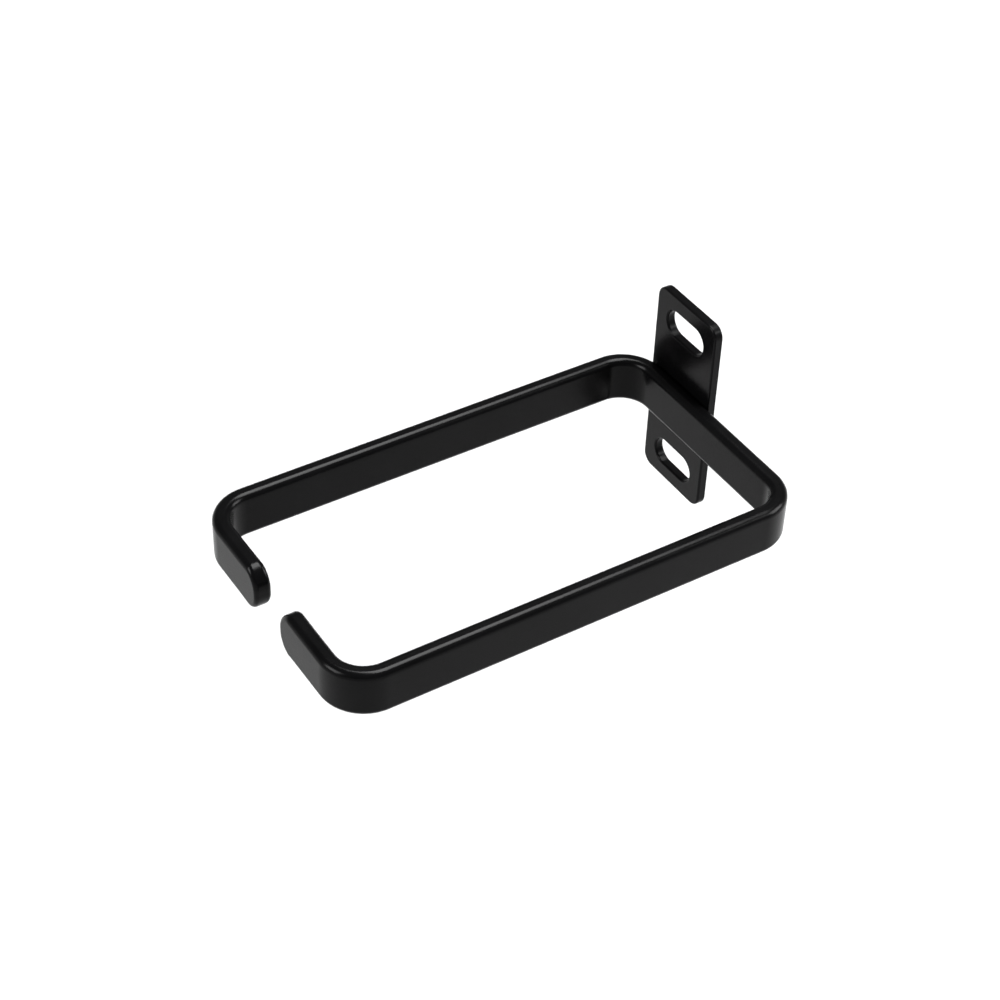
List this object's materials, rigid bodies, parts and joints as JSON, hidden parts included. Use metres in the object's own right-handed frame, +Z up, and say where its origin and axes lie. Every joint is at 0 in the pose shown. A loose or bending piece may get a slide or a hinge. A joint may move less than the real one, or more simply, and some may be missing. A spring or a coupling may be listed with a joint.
{
  "type": "hair dryer holder",
  "caption": "Wall-mounted open rectangular hoop of bent flat steel bar on a slotted plate, listed as holding a hair dryer; its shape and slot spacing are those of a rack cable ring.",
  "frame": {"origin": "centre of the mounting plate's back face, against the wall", "axes": "+Y into the wall, -Y out along the hoop, +Z up, +X to the right seen from the front"},
  "size_m": [0.0558, 0.0999, 0.0442],
  "materials": {
    "powder_coat": "satin black powder coat"
  },
  "bodies": {
    "root": {"hoop_bar": "powder_coat", "mounting_plate": "powder_coat", "tack_weld_left": "powder_coat", "tack_weld_right": "powder_coat"}
  },
  "joints": []
}
